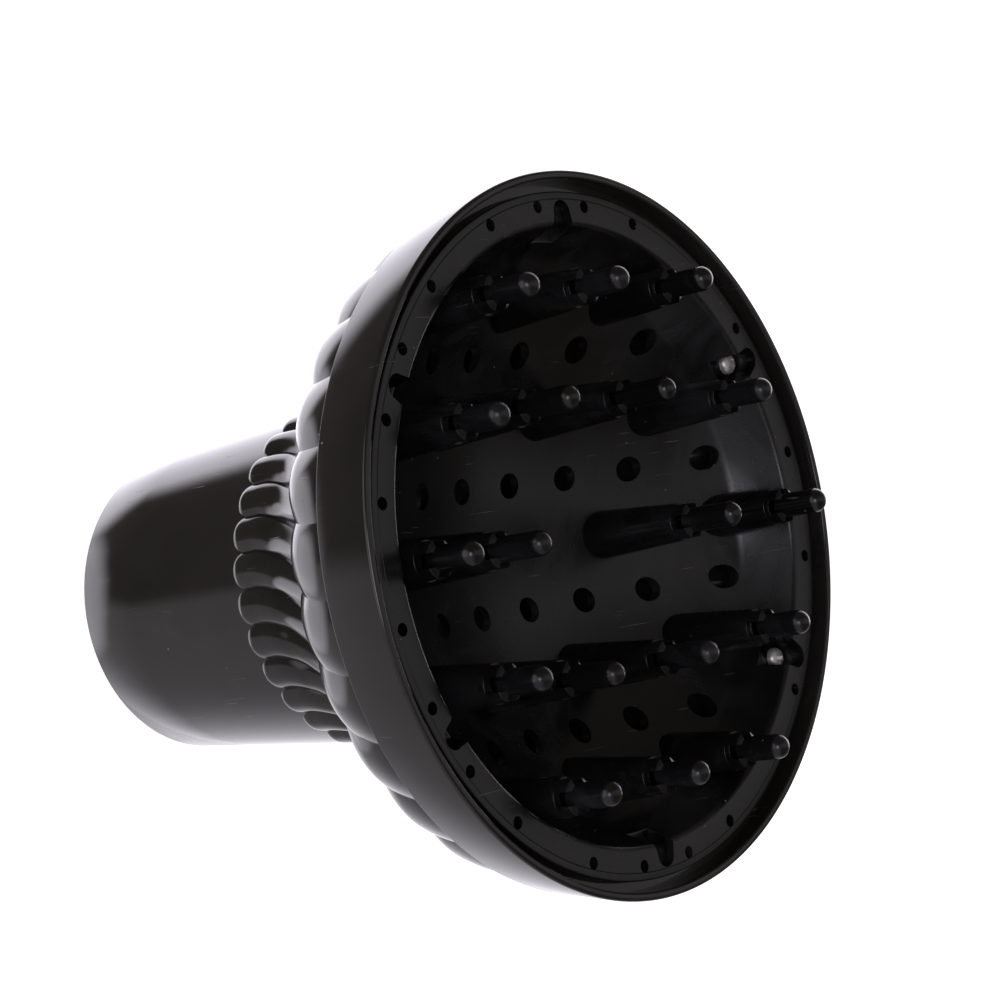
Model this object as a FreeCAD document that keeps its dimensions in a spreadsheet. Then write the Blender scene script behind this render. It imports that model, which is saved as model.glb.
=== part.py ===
import FreeCAD, Part
import math
import os

import Sketcher
from FreeCAD import Placement, Rotation, Vector

# Dryer diffuser: a hollow barrel opens into a fluted bell, a smooth rim band closes the bell, and a
# dished plate with upright fingers sits inside the band, held by six screws.
# The diffuser stands on its barrel: z = 0 is the rear end, +Z points out of the dish.

doc = FreeCAD.newDocument("dryer_diffuser")
sheet = doc.addObject("Spreadsheet::Sheet", "Dims")

DIMENSIONS = [
    # overall
    ("lip_height", 129.5, "height of the lip above the barrel's rear end"),
    ("rim_radius", 75.0, "outer radius of the lip"),
    # barrel and its rubber sleeve
    ("barrel_radius", 34.1, "outer radius at the rear end"),
    ("barrel_flare", 0.0598, "growth of the outer radius per unit of height"),
    ("barrel_wall", 2.2, "wall of the barrel"),
    ("sleeve_seat_radius", 31.9, "pocket in the barrel for the rubber sleeve"),
    ("sleeve_height", 24.0, "depth of that pocket"),
    ("sleeve_recess", 0.8, "sleeve's rear end above the barrel's rear end"),
    ("stop_radius", 30.9, "rib that stops the sleeve"),
    ("stop_height", 1.5, "height of that rib"),
    ("sleeve_bore_radius", 27.5, "straight bore that grips the dryer's nozzle"),
    ("sleeve_mouth_radius", 29.8, "start of the sleeve's lead-in"),
    ("sleeve_lead", 4.0, "length of the lead-in"),
    # bell
    ("lobe_start", 53.4, "height where the flutes rise from the barrel"),
    ("lean_start", 58.6, "height where the flutes begin to lean"),
    ("full_lean", 66.5, "height where they reach their full lean"),
    ("ease_start", 86.0, "height where they begin to straighten again"),
    ("lobe_height_rear", 1.5, "height of a flute on the barrel"),
    ("lobe_height_front", 1.3, "height of a flute at the band"),
    ("lobe_phase", 5.2, "degrees from +X to the first crease on the barrel"),
    ("lobe_swirl", 28.4, "degrees that a flute turns from the barrel to the band"),
    ("flare_start", 66.0, "height where the bell starts to open"),
    ("bell_front_radius", 72.6, "crest radius of the bell at the band"),
    ("bell_wall", 2.0, "wall of the bell under the flutes"),
    ("spigot_radius", 71.1, "outer radius of the bell's front collar"),
    # rim ring
    ("band_depth", 14.7, "length of the smooth band behind the lip"),
    ("band_rear_radius", 73.0, "outer radius of the band's rear edge"),
    ("band_bore_radius", 71.2, "bore of the band around the collar"),
    ("lip_inner_radius", 73.15, "inner radius of the lip"),
    ("lip_round", 0.6, "rounding of the lip's edges"),
    ("ledge_radius", 69.4, "inner radius of the ledge under the plate"),
    ("ledge_thickness", 2.0, "thickness of that ledge"),
    # finger plate
    ("flange_drop", 2.3, "depth of the plate's flange below the lip"),
    ("flange_radius", 70.9, "outer radius of the flange"),
    ("flange_thickness", 2.3, "thickness of the flange"),
    ("flange_inner_radius", 64.0, "top of the steep wall inside the flange"),
    ("flange_round", 1.5, "rounding of the flange's inner edge"),
    ("floor_drop", 36.0, "depth of the dish below the lip"),
    ("floor_sphere", 90.0, "radius of the dish's spherical floor"),
    ("floor_edge_radius", 60.0, "where the floor meets the steep wall"),
    ("floor_thickness", 2.0, "thickness of the dish"),
    ("floor_hole_radius", 2.75, "vent holes in the floor"),
    ("hole_pitch", 15.55, "spacing of the vents along a row"),
    ("rim_hole_radius", 1.3, "small vents in the flange"),
    ("rim_hole_circle", 68.0, "radius of their circle"),
    # fingers
    ("corner_circle", 57.5, "radius of the six corner fingers"),
    ("middle_circle", 50.5, "radius of the six fingers between them"),
    ("inner_circle", 32.0, "radius of the six inner fingers"),
    ("outer_tip_rise", 11.5, "tips of the twelve outer fingers above the lip"),
    ("inner_tip_rise", 6.8, "tips of the six inner fingers above the lip"),
    ("pin_radius", 2.65, "solid pin at a finger's end"),
    ("outer_pin_length", 9.6, "shoulder to tip, outer fingers"),
    ("inner_pin_length", 11.7, "shoulder to tip, inner fingers"),
    ("shoulder_radius", 3.9, "stem at the shoulder"),
    ("shoulder_slope", 0.5, "height of the shoulder's sloping top"),
    ("stem_taper", 0.0586, "growth of the stem's radius per unit of depth"),
    ("stem_bore_radius", 2.0, "air bore of the stem at the slots"),
    ("slot_width", 2.9, "width of the four air slots round the pin's foot"),
    ("slot_height", 3.2, "depth of the air slots below the shoulder's slope"),
    ("pin_seat", 1.6, "depth of the pin's foot between the four teeth"),
    # screws and their bosses
    ("screw_circle", 66.5, "radius of the six screws"),
    ("well_radius", 2.6, "screw well in the flange"),
    ("well_depth", 6.6, "screw seat below the flange"),
    ("boss_radius", 3.4, "plate boss and bell boss round a screw"),
    ("boss_floor", 2.2, "plate material under a screw's head"),
    ("boss_gap", 0.2, "clearance of the collar and ledge round a plate boss"),
    ("head_radius", 2.35, "pan head"),
    ("head_height", 1.8, "height of the pan head"),
    ("shank_radius", 1.45, "thread of the screw"),
    ("shank_length", 9.0, "length under the head"),
    ("shank_clearance", 0.15, "hole in the plate boss round the thread"),
    ("pilot_clearance", 0.05, "hole in the bell boss round the thread"),
    ("pilot_room", 0.5, "room in that hole past the screw's point"),
    ("recess_width", 0.75, "arm of the cross recess"),
    ("recess_span", 2.7, "length of the cross recess"),
    ("recess_depth", 0.9, "depth of the cross recess"),
]

FLUTES = 30
SCREWS = 6
SCREW_STEP = 60.0
FLOOR_ROWS = ((0.5, 8), (1.5, 6))          # distance from the middle in row gaps, and vents in the row
RIM_HOLE_ANGLES = (6.4, 20.0, 40.0, 53.6)  # small vents after each screw, in degrees
BELL_SECTIONS = 18                         # sections of the bell along its flare
BELL_CREST = (                             # height, crest radius and slope in degrees along the flare
    (71.0, 40.6, 18.0), (79.0, 44.0, 28.0), (90.0, 53.9, 52.0), (100.0, 65.9, 45.5), (106.0, 70.15, 22.0),
)
BAND_SLOPE = 8.0                           # slope of the crests at the band, in degrees
LOBE_END_SECTIONS = (                      # distance from a flute's rear end, and share of its full height
    (0.0, 0.0), (0.5, 0.45), (1.5, 0.8), (3.6, 1.0), (8.0, 1.0),
)
OVERRUN = 2.0                              # how far a cutting tool runs past what it cuts


class Size:
    """A length with its value and the sheet expression that gives it."""

    def __init__(self, value, text):
        self.value = value
        self.text = text

    def _join(self, other, sign, value):
        text = other.text if isinstance(other, Size) else repr(float(other))
        return Size(value, f"({self.text} {sign} {text})")

    def __add__(self, other):
        return self._join(other, "+", self.value + number(other))

    def __sub__(self, other):
        return self._join(other, "-", self.value - number(other))

    def __mul__(self, other):
        return self._join(other, "*", self.value * number(other))

    def __truediv__(self, other):
        return self._join(other, "/", self.value / number(other))

    def __neg__(self):
        return self * -1.0


def number(size):
    return size.value if isinstance(size, Size) else float(size)


class Dims:
    """The sheet's cells by their alias."""


dims = Dims()
for row, (alias, value, note) in enumerate(DIMENSIONS, start=1):
    sheet.set(f"A{row}", note)
    sheet.set(f"B{row}", str(value))
    sheet.setAlias(f"B{row}", alias)
    setattr(dims, alias, Size(value, f"Dims.{alias}"))
doc.recompute()


def bind(item, **sizes):
    """Ties properties of an object to the sheet; a double underscore stands for a dot."""
    for key, size in sizes.items():
        item.setExpression(key.replace("__", "."), size.text)
    return item


def place(item, x, y, z, turn=0.0):
    """Puts an object at a point bound to the sheet, turned about Z by a number of degrees."""
    item.Placement = Placement(Vector(number(x), number(y), number(z)), Rotation(Vector(0, 0, 1), turn))
    keys = {"Placement__Base__x": x, "Placement__Base__y": y, "Placement__Base__z": z}
    bind(item, **{key: size for key, size in keys.items() if isinstance(size, Size)})
    return item


def polar(radius, degrees):
    """A point on a circle, as two sizes."""
    radians = math.radians(degrees)
    return radius * math.cos(radians), radius * math.sin(radians)


def cylinder(name, radius, height, x, y, z):
    item = doc.addObject("Part::Cylinder", name)
    bind(item, Radius=radius, Height=height)
    return place(item, x, y, z)


def cone(name, low_radius, high_radius, height, x, y, z):
    item = doc.addObject("Part::Cone", name)
    bind(item, Radius1=low_radius, Radius2=high_radius, Height=height)
    return place(item, x, y, z)


def ball(name, radius, x, y, z):
    item = doc.addObject("Part::Sphere", name)
    bind(item, Radius=radius)
    return place(item, x, y, z)


def box(name, length, width, height, x, y, z, turn=0.0):
    item = doc.addObject("Part::Box", name)
    bind(item, Length=length, Width=width, Height=height)
    return place(item, x, y, z, turn)


def fused(name, shapes):
    item = doc.addObject("Part::MultiFuse", name)
    item.Shapes = shapes
    return item


def common(name, shapes):
    item = doc.addObject("Part::MultiCommon", name)
    item.Shapes = shapes
    return item


def cut(name, base, tool):
    item = doc.addObject("Part::Cut", name)
    item.Base = base
    item.Tool = tool
    return item


def plane_of(body, role):
    return next(f for f in body.Origin.OriginFeatures if f.Role == role)


def section(body, name, corners):
    """A closed outline of straight edges in the body's XZ plane, given as (radius, height) corners."""
    sketch = body.newObject("Sketcher::SketchObject", name)
    sketch.AttachmentSupport = (plane_of(body, "XZ_Plane"), [""])
    sketch.MapMode = "FlatFace"
    points = [Vector(number(radius), number(height), 0) for radius, height in corners]
    for edge, start in enumerate(points):
        finish = points[(edge + 1) % len(points)]
        sketch.addGeometry(Part.LineSegment(start, finish), False)
    for edge in range(len(points)):
        before = (edge - 1) % len(points)
        sketch.addConstraint(Sketcher.Constraint("Coincident", before, 2, edge, 1))
    for edge, corner in enumerate(corners):
        for axis, other_axis, size in zip(("DistanceX", "DistanceY"), (-2, -1), corner):
            if number(size) == 0.0:
                sketch.addConstraint(Sketcher.Constraint("PointOnObject", edge, 1, other_axis))
                continue
            made = sketch.addConstraint(Sketcher.Constraint(axis, -1, 1, edge, 1, number(size)))
            sketch.setExpression(f"Constraints[{made}]", size.text)
    return sketch


def turned_body(name, corners):
    """A body turned about the Z axis from one outline."""
    body = doc.addObject("PartDesign::Body", name)
    sketch = section(body, f"{name}_section", corners)
    feature = body.newObject("PartDesign::Revolution", f"{name}_turned")
    feature.Profile = sketch
    feature.ReferenceAxis = (sketch, ["V_Axis"])
    feature.Angle = 360.0
    body.Tip = feature
    doc.recompute()
    return body


def rounded(item, name, places, radius):
    """Rounds an object's circular edges round the Z axis at (radius, height) places."""
    doc.recompute()
    edges = []
    for index, edge in enumerate(item.Shape.Edges, start=1):
        if edge.Length < 1.0 or not isinstance(edge.Curve, Part.Circle):
            continue
        centre = edge.Curve.Center
        for ring, height in places:
            near = abs(edge.Curve.Radius - number(ring)) < 1e-3 and abs(centre.z - number(height)) < 1e-3
            if near and math.hypot(centre.x, centre.y) < 1e-3:
                edges.append((index, radius.value, radius.value))
    fillet = doc.addObject("Part::Fillet", name)
    fillet.Base = item
    fillet.Edges = edges
    return fillet


def finished(item, label):
    """Gives a finished piece the name of its node."""
    item.Label = label
    pieces.append(item)


pieces = []
zero = Size(0.0, "0")
lip = dims.lip_height
flange_top = lip - dims.flange_drop
flange_under = flange_top - dims.flange_thickness
ledge_under = flange_under - dims.ledge_thickness
band_rear = lip - dims.band_depth
screw_seat = flange_top - dims.well_depth
boss_end = screw_seat - dims.boss_floor
screw_angles = [SCREW_STEP * k for k in range(SCREWS)]


# ---- finger plate ----

floor_centre = lip - dims.floor_drop + dims.floor_sphere
under_sphere = dims.floor_sphere + dims.floor_thickness
under_edge = dims.floor_edge_radius + dims.floor_thickness
under_top_radius = dims.flange_inner_radius + dims.floor_thickness


def sphere_height(sphere, radius):
    """Height of the lower half of a sphere round the floor's centre, at a radius from the axis."""
    drop = math.sqrt(sphere.value ** 2 - radius.value ** 2)
    return floor_centre - Size(drop, f"sqrt({sphere.text} ^ 2 - {radius.text} ^ 2)")


def cap(name, sphere, edge_radius):
    """The part of a ball round the floor's centre that lies below its level circle of edge_radius."""
    item = doc.addObject("Part::Sphere", name)
    item.Angle1 = -90.0
    item.setExpression("Angle2", f"-acos({edge_radius.text} / {sphere.text})")
    bind(item, Radius=sphere)
    return place(item, 0, 0, floor_centre)


def spoke_box(name, start, length, width, height, angle, z):
    """A box whose length runs outwards along a spoke, centred on the spoke."""
    along_x, along_y = polar(start, angle)
    side_x, side_y = polar(width / 2, angle - 90.0)
    return box(name, length, width, height, along_x + side_x, along_y + side_y, z, angle)


wall_foot = sphere_height(dims.floor_sphere, dims.floor_edge_radius)
under_foot = sphere_height(under_sphere, under_edge)
wall_height = flange_top - wall_foot
dish_space = fused("dish_space", [
    cap("dish_cap", dims.floor_sphere, dims.floor_edge_radius),
    cone("dish_wall", dims.floor_edge_radius, dims.flange_inner_radius, wall_height, 0, 0, wall_foot),
])
plate_mass = [
    cap("under_cap", under_sphere, under_edge),
    cone("under_wall", under_edge, under_top_radius, flange_under - under_foot, 0, 0, under_foot),
    cylinder("flange", dims.flange_radius, dims.flange_thickness, 0, 0, flange_under),
]
for k, angle in enumerate(screw_angles, start=1):
    x, y = polar(dims.screw_circle, angle)
    web_length = dims.boss_radius * 1.5
    boss_height = flange_under - boss_end
    plate_mass.append(cylinder(f"plate_boss_{k}", dims.boss_radius, boss_height, x, y, boss_end))
    plate_mass.append(spoke_box(f"plate_boss_web_{k}", dims.screw_circle - web_length, web_length,
                                dims.boss_radius * 2, boss_height, angle, boss_end))
dish = rounded(cut("dish_sharp", fused("plate_mass", plate_mass), dish_space), "dish",
               [(dims.flange_inner_radius, flange_top)], dims.flange_round)

finger_rings = [
    (dims.corner_circle, 30.0, dims.outer_tip_rise, dims.outer_pin_length),
    (dims.middle_circle, 0.0, dims.outer_tip_rise, dims.outer_pin_length),
    (dims.inner_circle, 30.0, dims.inner_tip_rise, dims.inner_pin_length),
]
stems = []
pins = []
plate_cuts = []
for ring, (circle, first_angle, tip_rise, pin_length) in enumerate(finger_rings, start=1):
    tip_centre = lip + tip_rise - dims.pin_radius
    shoulder = lip + tip_rise - pin_length
    slope_foot = shoulder - dims.shoulder_slope
    slot_foot = slope_foot - dims.slot_height
    stem_foot = sphere_height(dims.floor_sphere, circle - dims.shoulder_radius * 1.5)
    stem_height = slope_foot - stem_foot
    foot_radius = dims.shoulder_radius + stem_height * dims.stem_taper
    pin_foot = slope_foot - dims.pin_seat
    bore_foot = stem_foot - OVERRUN
    bore_height = slope_foot - bore_foot
    bore_foot_radius = dims.stem_bore_radius + bore_height * dims.stem_taper
    for k in range(6):
        x, y = polar(circle, first_angle + SCREW_STEP * k)
        name = f"finger_{ring}_{k + 1}"
        stems += [
            cone(f"{name}_stem", foot_radius, dims.shoulder_radius, stem_height, x, y, stem_foot),
            cone(f"{name}_shoulder", dims.shoulder_radius, dims.pin_radius, dims.shoulder_slope,
                 x, y, slope_foot),
        ]
        pins += [
            cylinder(f"{name}_pin", dims.pin_radius, tip_centre - pin_foot, x, y, pin_foot),
            ball(f"{name}_tip", dims.pin_radius, x, y, tip_centre),
        ]
        span = dims.shoulder_radius * 2 + OVERRUN
        slot_reach = dims.slot_height + OVERRUN
        plate_cuts += [
            cone(f"{name}_bore", bore_foot_radius, dims.stem_bore_radius, bore_height, x, y, bore_foot),
            box(f"{name}_slot_x", span, dims.slot_width, slot_reach,
                x - span / 2, y - dims.slot_width / 2, slot_foot),
            box(f"{name}_slot_y", dims.slot_width, span, slot_reach,
                x - dims.slot_width / 2, y - span / 2, slot_foot),
        ]

row_gap = dims.hole_pitch * math.sqrt(3.0)
for steps, holes in FLOOR_ROWS:
    for side in (-1, 1):
        for hole in range(holes):
            x = row_gap * (steps * side)
            y = dims.hole_pitch * (hole - (holes - 1) / 2)
            plate_cuts.append(cylinder(f"vent_{len(plate_cuts)}", dims.floor_hole_radius, dims.floor_drop,
                                       x, y, lip - dims.floor_drop - dims.floor_thickness * 2))
for k, screw_angle in enumerate(screw_angles, start=1):
    x, y = polar(dims.screw_circle, screw_angle)
    well_height = dims.well_depth + OVERRUN
    plate_cuts += [
        cylinder(f"well_{k}", dims.well_radius, well_height, x, y, screw_seat),
        spoke_box(f"well_mouth_{k}", dims.screw_circle - dims.well_radius * 3, dims.well_radius * 3,
                  dims.well_radius * 2, well_height, screw_angle, screw_seat),
        cylinder(f"screw_hole_{k}", dims.shank_radius + dims.shank_clearance, dims.boss_floor * 2,
                 x, y, boss_end - dims.boss_floor / 2),
    ]
    for step, hole_angle in enumerate(RIM_HOLE_ANGLES, start=1):
        x, y = polar(dims.rim_hole_circle, screw_angle + hole_angle)
        plate_cuts.append(cylinder(f"rim_vent_{k}_{step}", dims.rim_hole_radius, dims.flange_thickness * 2,
                                   x, y, flange_under - dims.flange_thickness / 2))

plate = cut("plate_cut", fused("plate_with_stems", [dish, *stems]), fused("plate_openings", plate_cuts))
finished(fused("plate_with_pins", [plate, *pins]), "finger_plate")


# ---- rim ring: band, lip and the ledge that the plate rests on ----

ring_blank = turned_body("ring_blank", [
    (dims.band_bore_radius, band_rear),
    (dims.band_rear_radius, band_rear),
    (dims.rim_radius, lip),
    (dims.lip_inner_radius, lip),
    (dims.lip_inner_radius, flange_under),
    (dims.ledge_radius, flange_under),
    (dims.ledge_radius, ledge_under),
    (dims.band_bore_radius, ledge_under),
])
lip_edges = [(dims.rim_radius, lip), (dims.lip_inner_radius, lip)]
ring_round = rounded(ring_blank, "ring_round", lip_edges, dims.lip_round)


def boss_clearances(prefix):
    """Pockets that let the plate's bosses past the ledge and the bell's collar."""
    tools = []
    radius = dims.boss_radius + dims.boss_gap
    for k, angle in enumerate(screw_angles, start=1):
        x, y = polar(dims.screw_circle, angle)
        tools.append(cylinder(f"{prefix}_pocket_{k}", radius, lip - boss_end, x, y, boss_end))
    return fused(f"{prefix}_pockets", tools)


finished(cut("ring_cut", ring_round, boss_clearances("ring")), "rim_ring")


# ---- bell shell: barrel, fluted bell and front collar ----

def barrel_radius_at(height):
    return dims.barrel_radius + height * dims.barrel_flare


def barrel_radius_value(height):
    return dims.barrel_radius.value + height * dims.barrel_flare.value


def crest_points():
    """Points of the flare along the crests: height, radius and slope (radius per height)."""
    start = dims.flare_start.value
    first = (start, barrel_radius_value(start) + dims.lobe_height_rear.value, dims.barrel_flare.value)
    last = (band_rear.value, dims.bell_front_radius.value, math.tan(math.radians(BAND_SLOPE)))
    return [first, *((z, r, math.tan(math.radians(slope))) for z, r, slope in BELL_CREST), last]


def crest_at(height):
    """Radius and slope angle of the crests at a height of the flare, on a smooth curve through its points."""
    points = crest_points()
    index = max(k for k in range(len(points) - 1) if points[k][0] <= height)
    (z0, r0, slope0), (z1, r1, slope1) = points[index:index + 2]
    length = z1 - z0
    t = (height - z0) / length
    radius = r0 * (1 + 2 * t) * (1 - t) ** 2 + r1 * t * t * (3 - 2 * t)
    radius += length * (slope0 * t * (1 - t) ** 2 - slope1 * t * t * (1 - t))
    slope = 6 * t * (1 - t) * (r1 - r0) / length + slope0 * (1 - t) * (1 - 3 * t) + slope1 * t * (3 * t - 2)
    return radius, math.atan(slope)


def crest_stations():
    """Stations (height, crest radius, slope, flute height) from the flutes' rear ends to the band."""
    stations = []
    full = dims.lobe_height_rear.value
    for rise, share in LOBE_END_SECTIONS:
        height = dims.lobe_start.value + rise
        stations.append((height, barrel_radius_value(height) + share * full, 0.0, share * full))
    for step in range(BELL_SECTIONS + 1):
        along = step / BELL_SECTIONS
        height = dims.flare_start.value + (band_rear.value - dims.flare_start.value) * along
        radius, slope = crest_at(height)
        stations.append((height, radius, slope, full + (dims.lobe_height_front.value - full) * along))
    return stations


def lean_share(height):
    """Share of the flutes' full lean: it grows up to the neck and eases to nothing at the band."""
    growth = (height - dims.lean_start.value) / (dims.full_lean.value - dims.lean_start.value)
    ease = (band_rear.value - height) / (band_rear.value - dims.ease_start.value)
    return max(0.0, min(1.0, growth, ease))


def swirl_angles(stations):
    """Turn of the flutes at each station."""
    turns = [0.0]
    for (z0, r0, _, _), (z1, r1, _, _) in zip(stations, stations[1:]):
        turns.append(turns[-1] + lean_share((z0 + z1) / 2) * math.hypot(z1 - z0, r1 - r0) / ((r0 + r1) / 2))
    return [dims.lobe_phase.value + dims.lobe_swirl.value * turn / turns[-1] for turn in turns]


def scalloped_ring(height, crest, valley, turn):
    """A closed wire of one arc per flute."""
    step = 360.0 / FLUTES
    edges = []
    for flute in range(FLUTES):
        start = turn + step * flute
        points = []
        for radius, angle in ((valley, start), (crest, start + step / 2), (valley, start + step)):
            radians = math.radians(angle)
            points.append(Vector(radius * math.cos(radians), radius * math.sin(radians), height))
        edges.append(Part.Arc(*points).toShape())
    return Part.Wire(edges)


def fluted_bell():
    stations = crest_stations()
    rings = []
    for (height, crest, slope, flute), turn in zip(stations, swirl_angles(stations)):
        rings.append(scalloped_ring(height, crest, crest - flute / math.cos(slope), turn))
    return Part.makeLoft(rings, True, False)


def bell_hollow():
    """The space inside the barrel above the sleeve and inside the bell, turned from one outline."""
    inner = []
    for height, crest, slope, flute in crest_stations()[-BELL_SECTIONS:]:
        inset = flute + dims.bell_wall.value
        inner.append(Vector(crest - inset * math.cos(slope), 0, height + inset * math.sin(slope)))
    collar_bore = dims.spigot_radius.value - dims.bell_wall.value
    inner = [point for point in inner if point.x < collar_bore]
    low = dims.sleeve_height.value + dims.stop_height.value
    high = dims.flare_start.value - OVERRUN
    barrel_low = Vector(barrel_radius_value(low) - dims.barrel_wall.value, 0, low)
    barrel_top = Vector(barrel_radius_value(high) - dims.barrel_wall.value, 0, high)
    flare = Part.BSplineCurve()
    flare.interpolate([barrel_top, *inner])
    top = ledge_under.value + OVERRUN
    corners = [
        inner[-1],
        Vector(collar_bore, 0, inner[-1].z),
        Vector(collar_bore, 0, top),
        Vector(0, 0, top),
        Vector(0, 0, low),
        barrel_low,
        barrel_top,
    ]
    edges = [flare.toShape()] + [Part.makeLine(start, end) for start, end in zip(corners, corners[1:])]
    return Part.Face(Part.Wire(edges)).revolve(Vector(0, 0, 0), Vector(0, 0, 1), 360.0)


def solid_feature(name, shape):
    item = doc.addObject("Part::Feature", name)
    item.Shape = shape
    return item


lobe_foot_radius = barrel_radius_at(dims.lobe_start)
bell_solid = fused("bell_solid", [
    cone("barrel", dims.barrel_radius, lobe_foot_radius, dims.lobe_start, 0, 0, zero),
    solid_feature("flutes", fluted_bell()),
    cylinder("collar", dims.spigot_radius, ledge_under - band_rear + OVERRUN, 0, 0, band_rear - OVERRUN),
])
bell_spaces = fused("bell_spaces", [
    solid_feature("bell_hollow", bell_hollow()),
    cylinder("sleeve_pocket", dims.sleeve_seat_radius, dims.sleeve_height + OVERRUN, 0, 0, zero - OVERRUN),
    cylinder("sleeve_stop_bore", dims.stop_radius, dims.sleeve_height + dims.stop_height,
             0, 0, zero + OVERRUN),
])
bell_wall = cut("bell_wall", cut("bell_open", bell_solid, bell_spaces), boss_clearances("collar"))
bell_bosses = []
pilot_holes = []
for k, angle in enumerate(screw_angles, start=1):
    x, y = polar(dims.screw_circle, angle)
    boss_length = dims.shank_length * 2
    boss_foot = boss_end - boss_length
    bell_bosses.append(cylinder(f"bell_boss_{k}", dims.boss_radius, boss_length, x, y, boss_foot))
    pilot_foot = screw_seat - dims.shank_length - dims.pilot_room
    pilot_holes.append(cylinder(f"pilot_{k}", dims.shank_radius + dims.pilot_clearance,
                                boss_end - pilot_foot + OVERRUN, x, y, pilot_foot))
bosses_inside = common("bosses_inside", [fused("bell_bosses", bell_bosses), bell_solid])
bell_with_bosses = fused("bell_with_bosses", [bell_wall, bosses_inside])
finished(cut("bell_drilled", bell_with_bosses, fused("pilots", pilot_holes)), "bell_shell")


# ---- rubber sleeve in the barrel's mouth ----

sleeve_low = dims.sleeve_recess
sleeve_top = dims.sleeve_height
sleeve_outline = [
    (dims.sleeve_seat_radius, sleeve_low),
    (dims.sleeve_seat_radius, sleeve_top),
    (dims.sleeve_bore_radius, sleeve_top),
    (dims.sleeve_bore_radius, sleeve_low + dims.sleeve_lead),
    (dims.sleeve_mouth_radius, sleeve_low),
]
finished(turned_body("sleeve", sleeve_outline), "nozzle_sleeve")


# ---- screws ----

for k, angle in enumerate(screw_angles, start=1):
    x, y = polar(dims.screw_circle, angle)
    blank = turned_body(f"screw_blank_{k}", [
        (zero, zero),
        (dims.shank_radius, dims.shank_radius),
        (dims.shank_radius, dims.shank_length),
        (dims.head_radius, dims.shank_length),
        (dims.head_radius, dims.shank_length + dims.head_height * 0.5),
        (dims.head_radius * 0.7, dims.shank_length + dims.head_height),
        (zero, dims.shank_length + dims.head_height),
    ])
    recess_foot = dims.shank_length + dims.head_height - dims.recess_depth
    recess = fused(f"recess_{k}", [
        box(f"recess_{k}_x", dims.recess_span, dims.recess_width, dims.recess_depth + OVERRUN,
            -dims.recess_span / 2, -dims.recess_width / 2, recess_foot),
        box(f"recess_{k}_y", dims.recess_width, dims.recess_span, dims.recess_depth + OVERRUN,
            -dims.recess_width / 2, -dims.recess_span / 2, recess_foot),
    ])
    screw = cut(f"screw_cut_{k}", blank, recess)
    place(screw, x, y, screw_seat - dims.shank_length, angle)
    finished(screw, f"screw_{k}")


# ---- check and write ----

doc.recompute()
for item in doc.Objects:
    if "Invalid" in item.State or "Error" in item.State:
        raise RuntimeError(f"{item.Name} failed: {item.State}")
os.makedirs("parts", exist_ok=True)
for piece in pieces:
    if piece.Shape.isNull() or not piece.Shape.isValid():
        raise RuntimeError(f"{piece.Label} has no valid shape")
    if len(piece.Shape.Solids) != 1:
        raise RuntimeError(f"{piece.Label} is {len(piece.Shape.Solids)} solids")
    piece.Shape.exportStep(os.path.join("parts", f"{piece.Label}.step"))
    extent = piece.Shape.BoundBox
    print(f"{piece.Label}: {piece.Shape.Volume / 1000.0:.2f} cm3, z {extent.ZMin:.1f} to {extent.ZMax:.1f}")
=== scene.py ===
import math

import bpy
import numpy as np
from mathutils import Matrix, Vector


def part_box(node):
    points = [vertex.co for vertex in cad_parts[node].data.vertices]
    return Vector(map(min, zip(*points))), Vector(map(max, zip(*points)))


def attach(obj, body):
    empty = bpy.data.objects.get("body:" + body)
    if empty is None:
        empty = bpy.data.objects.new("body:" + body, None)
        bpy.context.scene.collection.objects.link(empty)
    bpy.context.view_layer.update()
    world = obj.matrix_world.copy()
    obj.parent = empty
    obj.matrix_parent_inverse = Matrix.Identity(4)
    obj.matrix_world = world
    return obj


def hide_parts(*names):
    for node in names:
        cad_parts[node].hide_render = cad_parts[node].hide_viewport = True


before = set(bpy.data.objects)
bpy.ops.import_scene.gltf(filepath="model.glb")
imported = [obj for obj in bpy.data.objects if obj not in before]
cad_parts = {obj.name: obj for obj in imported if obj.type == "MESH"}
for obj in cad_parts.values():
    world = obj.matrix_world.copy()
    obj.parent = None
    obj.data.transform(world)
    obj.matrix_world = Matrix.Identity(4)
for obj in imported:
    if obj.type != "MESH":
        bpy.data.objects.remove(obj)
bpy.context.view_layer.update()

MM = 0.001

# ---- sizes in millimetres; heights are above the barrel's rear end ----
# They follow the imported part, apart from the wells' mouths, the shell's even wall and small roundings.

ring_low, ring_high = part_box("rim_ring")
BAND_REAR = ring_low.z / MM
LIP = ring_high.z / MM
RIM_RADIUS = 75.0
BAND_REAR_RADIUS = 73.0
BAND_THICKNESS = 1.8
LIP_INNER = 73.15
LEDGE_RADIUS = 69.4
LEDGE_THICKNESS = 2.0

BARREL_RADIUS = 34.1
BARREL_FLARE = 0.0598                                      # growth of the radius per unit of height
SLEEVE_SEAT = 31.9
SLEEVE_TOP = 24.0
STOP_RADIUS = 30.9
STOP_TOP = 25.5
WALL = 2.1
SLEEVE_FOOT = 0.8
SLEEVE_BORE = 27.5
SLEEVE_MOUTH = 29.8
LEAD_IN = 4.0
GRIP_GROOVES = 6
GROOVE_PITCH = 2.6
GROOVE_DEPTH = 0.5

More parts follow.
